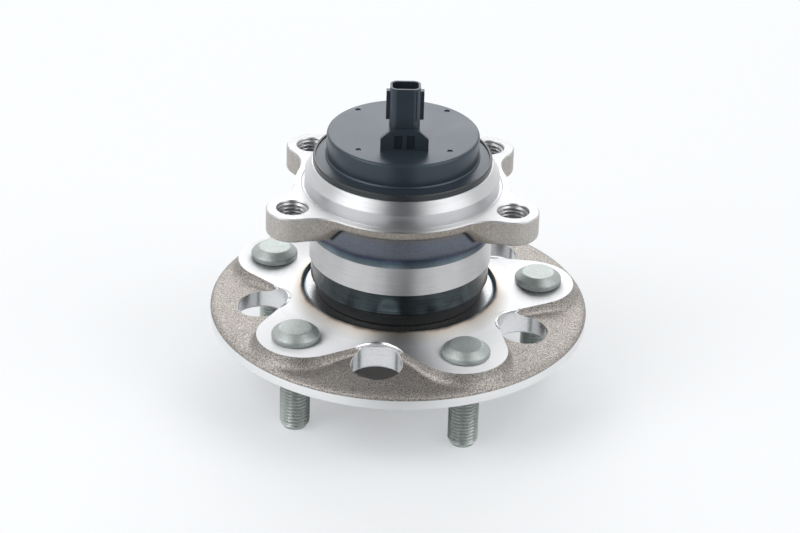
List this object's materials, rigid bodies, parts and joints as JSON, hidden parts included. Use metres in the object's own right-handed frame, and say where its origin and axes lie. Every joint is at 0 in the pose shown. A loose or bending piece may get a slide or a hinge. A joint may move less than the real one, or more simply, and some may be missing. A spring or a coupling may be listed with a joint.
{
  "type": "wheel hub bearing",
  "caption": "Flanged wheel hub bearing unit with wheel studs, a lobed knuckle flange and a sensor cap with an upright connector.",
  "frame": {"origin": "middle of the wheel mounting face, on the bearing axis", "axes": "+Z along the bearing axis from the wheel side to the knuckle side, -Y towards the side of the cap that carries the connector, +X completes the frame, parallel to the near and far pairs of knuckle bolts"},
  "size_m": [0.1516, 0.1516, 0.135],
  "materials": {
    "forged_steel": "machined and shot-blasted forging",
    "zinc_steel": "zinc flake coating",
    "bearing_steel": "ground and lapped",
    "nut_steel": "phosphated",
    "stainless_sheet": "rolled stainless sheet",
    "pressed_steel": "cold rolled sheet",
    "black_sheet": "black coated sheet steel",
    "seal_rubber": "moulded nitrile",
    "encoder_rubber": "ferrite filled nitrile",
    "cage_polymer": "glass filled polyamide",
    "cap_plastic": "black glass filled polyamide",
    "carrier_plastic": "first-shot moulding",
    "terminal_metal": "tin plated bronze",
    "chip_resin": "epoxy package"
  },
  "bodies": {
    "knuckle_side": {"outer_ring": "forged_steel", "outboard_seal_core": "pressed_steel", "outboard_seal_lips": "seal_rubber", "cap_sleeve": "black_sheet", "cap_seal_ring": "seal_rubber", "sensor_cap": "cap_plastic", "sensor_carrier": "carrier_plastic", "sensor_element": "chip_resin", "connector_terminals": "terminal_metal"},
    "hub": {"hub_flange": "forged_steel", "wheel_studs": "zinc_steel", "inner_ring": "bearing_steel", "spindle_nut": "nut_steel", "outboard_seal_slinger": "stainless_sheet", "encoder_carrier": "pressed_steel", "magnetic_encoder": "encoder_rubber"},
    "outboard_cage_set": {"outboard_balls": "bearing_steel", "outboard_cage": "cage_polymer"},
    "inboard_cage_set": {"inboard_balls": "bearing_steel", "inboard_cage": "cage_polymer"}
  },
  "joints": [
    {"name": "hub_spin", "type": "hinge", "parent": "knuckle_side", "child": "hub", "pos_m": [0, 0, 0], "axis": [0, 0, 1], "continuous": true},
    {"name": "outboard_cage_spin", "type": "hinge", "parent": "knuckle_side", "child": "outboard_cage_set", "pos_m": [0, 0, 0.0289], "axis": [0, 0, 1], "continuous": true},
    {"name": "inboard_cage_spin", "type": "hinge", "parent": "knuckle_side", "child": "inboard_cage_set", "pos_m": [0, 0, 0.0509], "axis": [0, 0, 1], "continuous": true}
  ],
  "couplings": [
    {"joint": "outboard_cage_spin", "follows": "hub_spin", "ratio": 0.4125},
    {"joint": "inboard_cage_spin", "follows": "hub_spin", "ratio": 0.4125}
  ]
}
